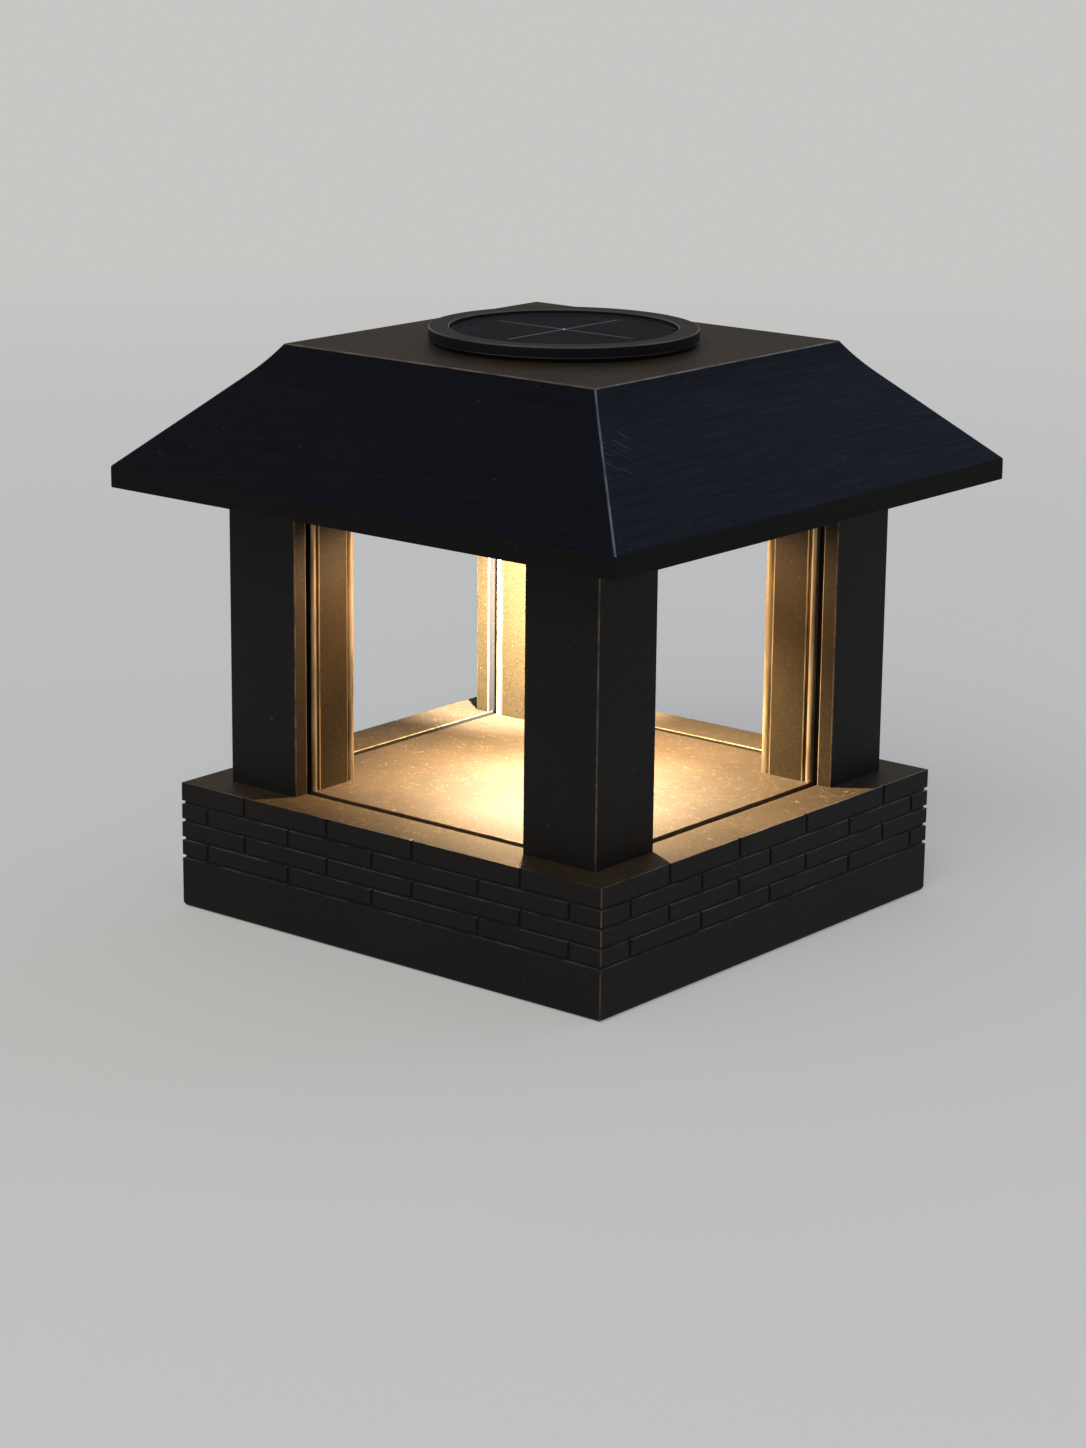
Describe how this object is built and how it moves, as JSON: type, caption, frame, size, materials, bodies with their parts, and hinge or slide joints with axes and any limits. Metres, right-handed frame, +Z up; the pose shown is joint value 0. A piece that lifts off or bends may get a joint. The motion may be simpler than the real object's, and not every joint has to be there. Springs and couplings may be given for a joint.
{
  "type": "deck post cap light",
  "caption": "Square lantern cap for a deck post: brick-pattern collar, open pillars, flared hip roof and a round solar light module that lifts out of the top.",
  "frame": {"origin": "middle of the collar's foot, on the plane that the cap stands on", "axes": "+Z up the post's axis, -Y out of the front face, +X out of the right-hand face"},
  "size_m": [0.1586, 0.1586, 0.1481],
  "materials": {
    "coated_metal": "satin black-bronze coating with fine brushed grain on cast and extruded aluminium",
    "screw_steel": "stainless",
    "seal_rubber": "matte",
    "module_plastic": "satin moulded plastic",
    "silicon": "dark monocrystalline cell",
    "cover_resin": "clear cover, slightly smoked",
    "lens_plastic": "frosted diffuser",
    "mirror_plating": "bright plating",
    "led_phosphor": "warm white phosphor",
    "board_green": "solder mask",
    "chip_black": "moulded",
    "ferrite": "ferrite drum",
    "slider_plastic": "moulded",
    "battery_sleeve": "shrink sleeve",
    "contact_nickel": "nickel plate",
    "lead_sleeve": "insulated wire"
  },
  "bodies": {
    "lantern_frame": {"base_collar": "coated_metal", "deck_plate": "coated_metal", "pillar_front_left": "coated_metal", "pillar_front_right": "coated_metal", "pillar_back_left": "coated_metal", "pillar_back_right": "coated_metal", "pillar_bottom_screws": "screw_steel", "pillar_top_screws": "screw_steel", "ceiling_panel": "coated_metal", "roof_shell": "coated_metal", "roof_screws": "screw_steel"},
    "light_module": {"module_gasket": "seal_rubber", "module_housing": "module_plastic", "solar_cell": "silicon", "cell_cover": "cover_resin", "module_base": "module_plastic", "module_screws": "screw_steel", "lens": "lens_plastic", "reflector": "mirror_plating", "led": "led_phosphor", "circuit_board": "board_green", "board_screws": "screw_steel", "driver_chip": "chip_black", "coil": "ferrite", "switch_body": "chip_black", "battery": "battery_sleeve", "battery_spring": "contact_nickel", "battery_plate": "contact_nickel", "cell_leads": "lead_sleeve", "battery_leads": "lead_sleeve"},
    "battery_hatch": {"battery_door": "module_plastic"},
    "power_switch": {"switch_slider": "slider_plastic"}
  },
  "joints": [
    {"name": "module_lift", "type": "slide", "parent": "lantern_frame", "child": "light_module", "axis": [0, 0, 1], "range_m": [0, 0.05]},
    {"name": "battery_door_hinge", "type": "hinge", "parent": "light_module", "child": "battery_hatch", "pos_m": [-0.024, 0.01, 0.1093], "axis": [0, 1, 0], "range_deg": [0, 85]},
    {"name": "switch_slide", "type": "slide", "parent": "light_module", "child": "power_switch", "axis": [1, 0, 0], "range_m": [0, 0.0025]}
  ]
}
